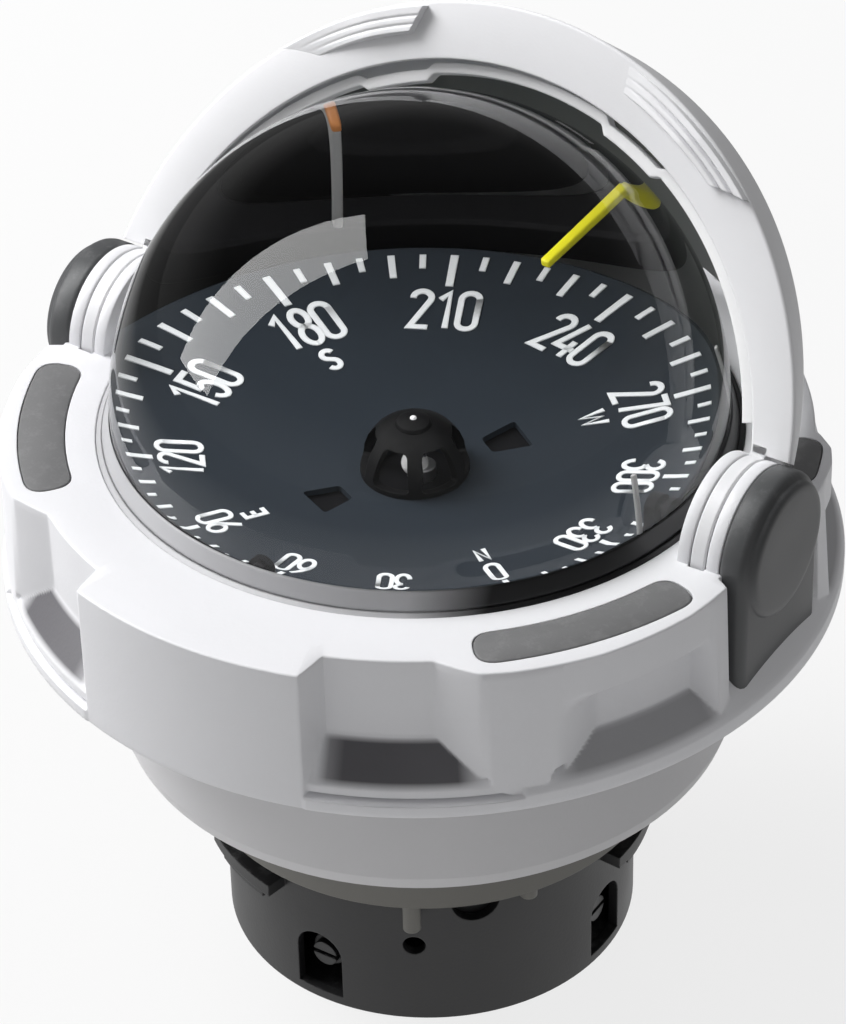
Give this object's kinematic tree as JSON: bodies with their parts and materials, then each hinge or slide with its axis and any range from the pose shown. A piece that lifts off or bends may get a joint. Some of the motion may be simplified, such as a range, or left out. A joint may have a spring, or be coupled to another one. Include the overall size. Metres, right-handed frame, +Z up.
{
  "type": "marine compass",
  "caption": "Dome-topped marine steering compass with a gimballed turning card, lubber posts, a pivoting sun hood, a recessed deck flange and a twist-on corrector base.",
  "frame": {"origin": "middle of the underside of the corrector base", "axes": "+Z up through the dome, +Y to the bow (the side of the main lubber post), +X to starboard along the hood axis"},
  "size_m": [0.193, 0.193, 0.217],
  "materials": {
    "white_plastic": "fine orange peel grain",
    "black_rubber": "matte",
    "grey_plastic": "fine spark grain",
    "steel": "turned",
    "clear_dome": "polished",
    "inner_grey": "smooth",
    "brass": "turned",
    "yellow_plastic": "smooth",
    "pale_plastic": "smooth",
    "card_black": "satin print",
    "card_white": "print",
    "black_plastic": "satin",
    "jewel": "polished",
    "magnet_iron": "plain"
  },
  "bodies": {
    "housing": {"deck_flange": "white_plastic", "deck_gasket": "black_rubber", "insert_aft_port": "grey_plastic", "insert_aft_starboard": "grey_plastic", "insert_fore_port": "grey_plastic", "insert_fore_starboard": "grey_plastic", "bracket_port": "grey_plastic", "bracket_starboard": "grey_plastic", "pivot_pin_port": "steel", "pivot_pin_starboard": "steel", "disc_inner_port": "white_plastic", "disc_inner_starboard": "white_plastic", "disc_outer_port": "white_plastic", "disc_outer_starboard": "white_plastic", "dome": "clear_dome", "dome_seal": "black_rubber", "bowl": "inner_grey", "clamp_ring": "inner_grey", "diaphragm": "black_rubber", "mouth_cover": "inner_grey", "filler_plug": "brass", "skirt": "white_plastic", "skirt_floor": "white_plastic", "collar": "pale_plastic", "spigot": "black_plastic", "locating_pegs": "pale_plastic", "corrector_base": "black_plastic", "corrector_block": "black_plastic", "base_screws": "steel"},
    "hood": {"hood_shell": "white_plastic", "hood_ledge": "white_plastic", "grip_port": "white_plastic", "grip_starboard": "white_plastic"},
    "gimbal": {"gimbal_ring": "inner_grey", "roll_pins": "steel"},
    "frame": {"lubber_frame": "inner_grey", "pitch_pins": "steel", "lubber_bow": "yellow_plastic", "lubbers_side": "pale_plastic", "pivot_stem": "steel", "counterweight": "brass"},
    "card": {"card_plate": "card_black", "card_ticks": "card_white", "hub_cage": "black_plastic", "hub_cap": "black_plastic", "jewel_cup": "jewel", "magnets": "magnet_iron"},
    "corrector_a": {"corrector_aft": "black_plastic"},
    "corrector_s": {"corrector_starboard": "black_plastic"}
  },
  "joints": [
    {"name": "hood_hinge", "type": "hinge", "parent": "housing", "child": "hood", "pos_m": [0, 0, 0.1377], "axis": [1, 0, 0], "range_deg": [-3, 113]},
    {"name": "roll", "type": "hinge", "parent": "housing", "child": "gimbal", "pos_m": [0, 0, 0.1386], "axis": [0, 1, 0], "range_deg": [-25, 25]},
    {"name": "pitch", "type": "hinge", "parent": "gimbal", "child": "frame", "pos_m": [0, 0, 0.1386], "axis": [1, 0, 0], "range_deg": [-25, 25]},
    {"name": "card_turn", "type": "hinge", "parent": "frame", "child": "card", "pos_m": [0, 0, 0.1386], "axis": [0, 0, 1], "continuous": true},
    {"name": "corrector_turn_aft", "type": "hinge", "parent": "housing", "child": "corrector_a", "pos_m": [0, -0.04, 0.012], "axis": [0, -1, 0], "continuous": true},
    {"name": "corrector_turn_starboard", "type": "hinge", "parent": "housing", "child": "corrector_s", "pos_m": [0.04, 0, 0.012], "axis": [1, 0, 0], "continuous": true}
  ]
}
